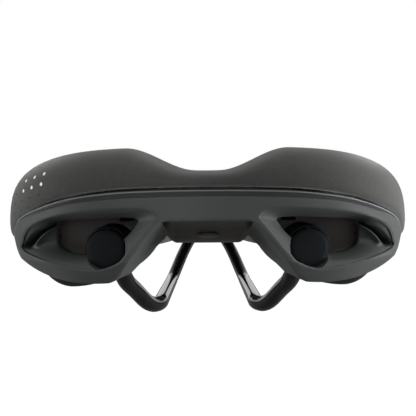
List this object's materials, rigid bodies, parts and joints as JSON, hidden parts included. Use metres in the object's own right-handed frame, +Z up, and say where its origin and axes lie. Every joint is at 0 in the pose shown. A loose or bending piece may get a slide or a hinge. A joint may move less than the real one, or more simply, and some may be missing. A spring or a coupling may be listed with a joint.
{
  "type": "bicycle saddle",
  "caption": "Short, wide bicycle saddle with a centre channel, charcoal cover, moulded grey rear fascia with two windows, and gloss black round rails.",
  "frame": {"origin": "midway between the rails' axes, at the seatpost clamp", "axes": "+Y towards the nose, +Z up, +X to the rider's right"},
  "size_m": [0.1574, 0.2741, 0.0689],
  "materials": {
    "cover_skin": "matte microfibre",
    "foam": "matte foam",
    "base_plastic": "satin",
    "fascia_plastic": "fine texture",
    "strip_gloss": "gloss",
    "wing_plastic": "satin",
    "rail_enamel": "gloss black",
    "steel": "zinc plated",
    "bush_rubber": "matte",
    "cap_plastic": "matte",
    "socket_plastic": "satin",
    "plug_plastic": "satin"
  },
  "bodies": {
    "rails": {"left_rail": "rail_enamel", "right_rail": "rail_enamel", "left_ferrule": "steel", "right_ferrule": "steel"},
    "seat": {"cover": "cover_skin", "foam_pad": "foam", "base_shell": "base_plastic", "rear_fascia": "fascia_plastic", "trim_strip": "strip_gloss", "left_wing_cover": "wing_plastic", "right_wing_cover": "wing_plastic", "left_bush": "bush_rubber", "right_bush": "bush_rubber", "left_bush_cap": "cap_plastic", "right_bush_cap": "cap_plastic", "nose_socket": "socket_plastic", "nose_clamp": "socket_plastic", "port_plug": "plug_plastic", "nose_screw_1": "steel", "nose_screw_2": "steel", "fascia_screw_1": "steel", "fascia_screw_2": "steel", "fascia_screw_3": "steel", "fascia_screw_4": "steel"}
  },
  "joints": [
    {"name": "suspension_pitch", "type": "hinge", "parent": "rails", "child": "seat", "pos_m": [0, 0.104, 0.027], "axis": [1, 0, 0], "range_deg": [-0.12, 0.5], "stiffness_Nm_per_rad": 2000, "deforming": ["left_bush", "right_bush"]}
  ]
}
